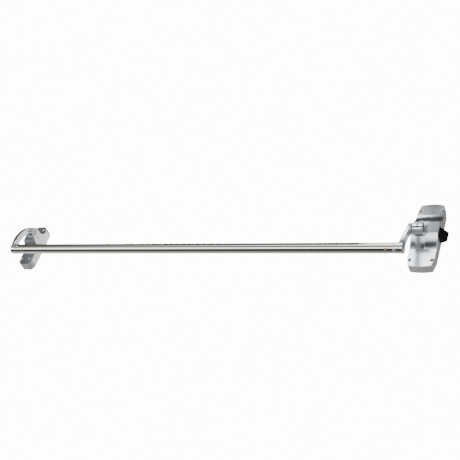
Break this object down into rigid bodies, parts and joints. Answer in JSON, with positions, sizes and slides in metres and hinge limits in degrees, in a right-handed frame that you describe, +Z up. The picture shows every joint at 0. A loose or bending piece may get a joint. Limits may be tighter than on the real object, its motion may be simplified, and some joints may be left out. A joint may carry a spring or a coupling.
{
  "type": "door crossbar exit device",
  "caption": "Round push bar on two curved pivoting arms between a latch case with a bevelled spring bolt and a smaller hinge-side case, for opening a door by pushing.",
  "frame": {"origin": "middle of the latch case's four mounting holes, on the door's face", "axes": "+X along the door towards the latch edge, +Y into the door, +Z up"},
  "size_m": [1.179, 0.1063, 0.2025],
  "materials": {
    "cast_aluminium": "cast aluminium, satin front, sand-textured sides",
    "arm_metal": "die-cast, polished edge, satin sides",
    "bar_steel": "satin stainless tube",
    "plate_steel": "zinc-plated pressed steel",
    "screw_steel": "zinc-plated",
    "set_screw_steel": "yellow passivated",
    "shaft_steel": "ground",
    "bush_bronze": "sintered bronze",
    "bolt_black": "black oxide",
    "spring_steel": "drawn wire"
  },
  "bodies": {
    "door_side": {"latch_case_cover": "cast_aluminium", "latch_base_plate": "plate_steel", "latch_plate_screws": "screw_steel", "latch_bush_inner": "bush_bronze", "latch_bush_outer": "bush_bronze", "bolt_guide": "plate_steel", "rod_bracket": "plate_steel", "retractor_studs": "screw_steel", "bolt_spring": "spring_steel", "latch_return_spring": "spring_steel", "hinge_case_cover": "cast_aluminium", "hinge_base_plate": "plate_steel", "hinge_plate_screws": "screw_steel", "hinge_bush": "bush_bronze"},
    "push_bar": {"crossbar_tube": "bar_steel", "latch_arm": "arm_metal", "hinge_arm": "arm_metal", "latch_cross_shaft": "shaft_steel", "hinge_cross_shaft": "shaft_steel", "arm_drive_pins": "shaft_steel", "lifting_lever": "plate_steel", "bar_set_screws": "set_screw_steel", "hinge_shaft_clip": "shaft_steel"},
    "retractor": {"retractor_slide": "plate_steel"},
    "bolt": {"latch_bolt": "bolt_black", "bolt_guide_rod": "shaft_steel", "bolt_follower_pin": "shaft_steel"},
    "hub": {"trim_hub": "screw_steel"},
    "cam": {"dogging_cam": "screw_steel"}
  },
  "joints": [
    {"name": "push_bar_swing", "type": "hinge", "parent": "door_side", "child": "push_bar", "pos_m": [0, -0.06, -0.011], "axis": [1, 0, 0], "range_deg": [0, 22], "stiffness_Nm_per_rad": 1.6, "springref_deg": -34.38, "deforming": ["latch_return_spring"]},
    {"name": "retractor_lift", "type": "slide", "parent": "door_side", "child": "retractor", "axis": [0, 0, 1], "range_m": [0, 0.0132]},
    {"name": "bolt_draw", "type": "slide", "parent": "door_side", "child": "bolt", "axis": [-1, 0, 0], "range_m": [0, 0.0191], "deforming": ["bolt_spring"]},
    {"name": "trim_hub_turn", "type": "hinge", "parent": "door_side", "child": "hub", "pos_m": [0.008, -0.003, 0.038], "axis": [0, 1, 0], "range_deg": [-40, 40]},
    {"name": "dogging_cam_turn", "type": "hinge", "parent": "door_side", "child": "cam", "pos_m": [-1.09, -0.0415, -0.014], "axis": [1, 0, 0], "range_deg": [0, 90]}
  ],
  "couplings": [
    {"joint": "retractor_lift", "follows": "push_bar_swing", "m_per_rad": 0.034117},
    {"joint": "bolt_draw", "follows": "push_bar_swing", "m_per_rad": 0.049483}
  ]
}
